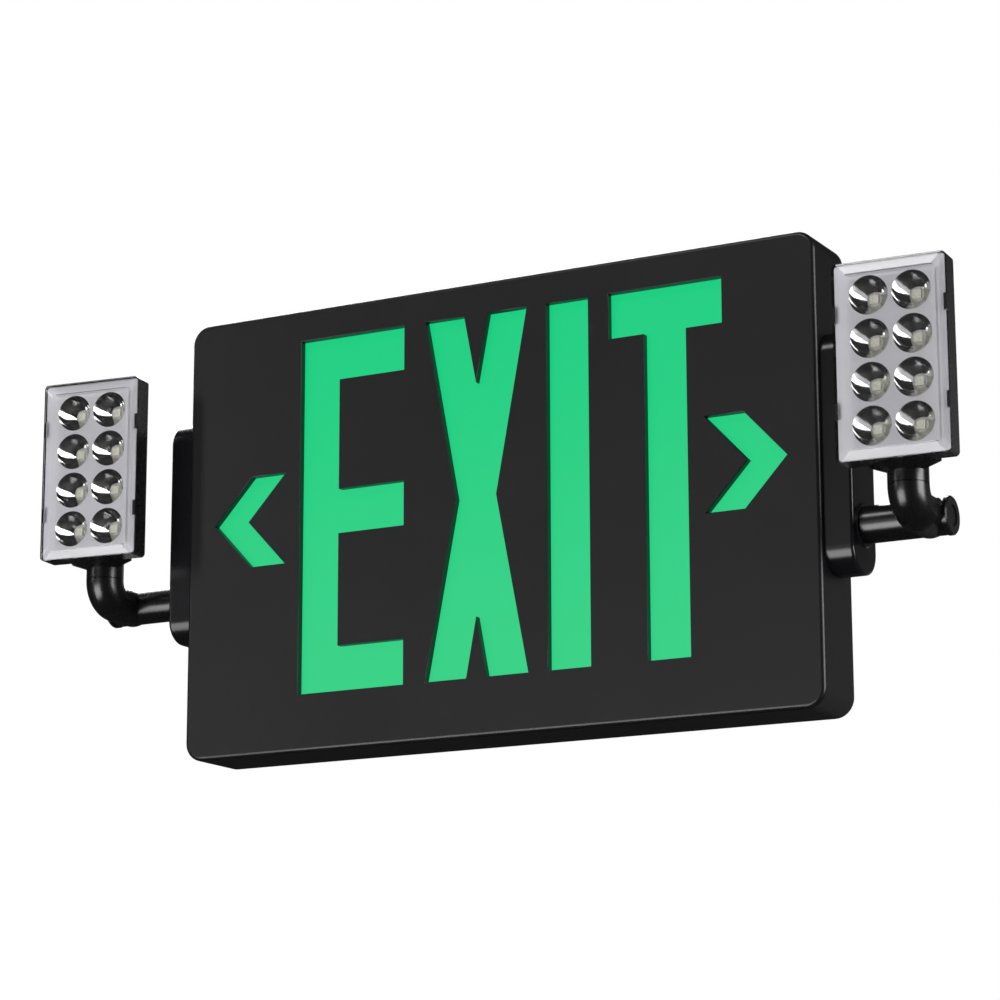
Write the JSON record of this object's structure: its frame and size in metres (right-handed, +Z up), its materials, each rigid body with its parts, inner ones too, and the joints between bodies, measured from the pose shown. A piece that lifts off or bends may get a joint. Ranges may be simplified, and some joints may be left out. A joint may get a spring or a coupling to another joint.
{
  "type": "emergency exit light",
  "caption": "Wall-mounted exit sign with a lit legend and arrow openings, a test button on one side and an adjustable lamp head on a hooked arm at each end.",
  "frame": {"origin": "centre of the round wiring hole in the flat back face, which is also the centre of the housing's back", "axes": "+X to the right of someone facing the sign, +Y into the wall, +Z up; the lit face looks along -Y"},
  "size_m": [0.4149, 0.0553, 0.1906],
  "materials": {
    "housing_plastic": "black moulded thermoplastic with a fine satin grain",
    "arm_plastic": "smooth glossy black moulded plastic",
    "lit_panel": "translucent green panel, evenly lit from behind",
    "white_plastic": "white moulded plastic",
    "white_board": "white solder-masked board",
    "green_board": "green solder-masked board",
    "diode": "yellow phosphor under clear resin",
    "steel": "zinc-plated steel",
    "coil_tape": "yellow winding tape",
    "black_plastic": "black moulded component case",
    "green_terminal": "green terminal moulding",
    "battery_wrap": "shrink wrap over the cells",
    "indicator_lens": "clear red lens",
    "button_plastic": "smooth red button",
    "bright_reflector": "vacuum-metallised reflector",
    "clear_cover": "clear moulded cover"
  },
  "bodies": {
    "sign": {"front_housing": "housing_plastic", "back_plate": "housing_plastic", "lit_panel": "lit_panel", "light_tray": "white_plastic", "upper_light_strip": "white_board", "lower_light_strip": "white_board", "strip_leds": "diode", "circuit_board": "green_board", "transformer_core": "steel", "transformer_coil": "coil_tape", "relay": "black_plastic", "charge_capacitor": "black_plastic", "terminal_block": "green_terminal", "battery_pack": "battery_wrap", "test_switch": "black_plastic", "charge_indicator": "indicator_lens", "case_screws": "steel", "tray_screws": "steel", "circuit_board_screws": "steel", "left_lamp_base": "housing_plastic", "left_base_screws": "steel", "left_friction_washer": "steel", "right_lamp_base": "housing_plastic", "right_base_screws": "steel", "right_friction_washer": "steel"},
    "test_button": {"test_button": "button_plastic"},
    "left_arm": {"left_arm": "arm_plastic", "left_barrel_cap": "arm_plastic", "left_journal_clip": "steel", "left_spigot_clip": "steel"},
    "left_head": {"left_head_shell": "arm_plastic", "left_reflector": "bright_reflector", "left_lens": "clear_cover", "left_led_board": "white_board", "left_head_leds": "diode", "left_led_board_screws": "steel"},
    "right_arm": {"right_arm": "arm_plastic", "right_barrel_cap": "arm_plastic", "right_journal_clip": "steel", "right_spigot_clip": "steel"},
    "right_head": {"right_head_shell": "arm_plastic", "right_reflector": "bright_reflector", "right_lens": "clear_cover", "right_led_board": "white_board", "right_head_leds": "diode", "right_led_board_screws": "steel"}
  },
  "joints": [
    {"name": "left_arm_tilt", "type": "hinge", "parent": "sign", "child": "left_arm", "pos_m": [-0.15805, -0.0142, -0.023], "axis": [1, 0, 0], "range_deg": [-15, 135]},
    {"name": "left_head_swivel", "type": "hinge", "parent": "left_arm", "child": "left_head", "pos_m": [-0.1848, -0.0355, -0.0144], "axis": [0, 0, 1], "range_deg": [-96.7, 83.3]},
    {"name": "right_arm_tilt", "type": "hinge", "parent": "sign", "child": "right_arm", "pos_m": [0.15805, -0.0142, -0.023], "axis": [1, 0, 0], "range_deg": [-15, 135]},
    {"name": "right_head_swivel", "type": "hinge", "parent": "right_arm", "child": "right_head", "pos_m": [0.1848, -0.0355, -0.0144], "axis": [0, 0, 1], "range_deg": [-93, 87]},
    {"name": "test_press", "type": "slide", "parent": "sign", "child": "test_button", "axis": [1, 0, 0], "range_m": [0, 0.0012], "stiffness_N_per_m": 600, "springref_m": -0.001}
  ]
}
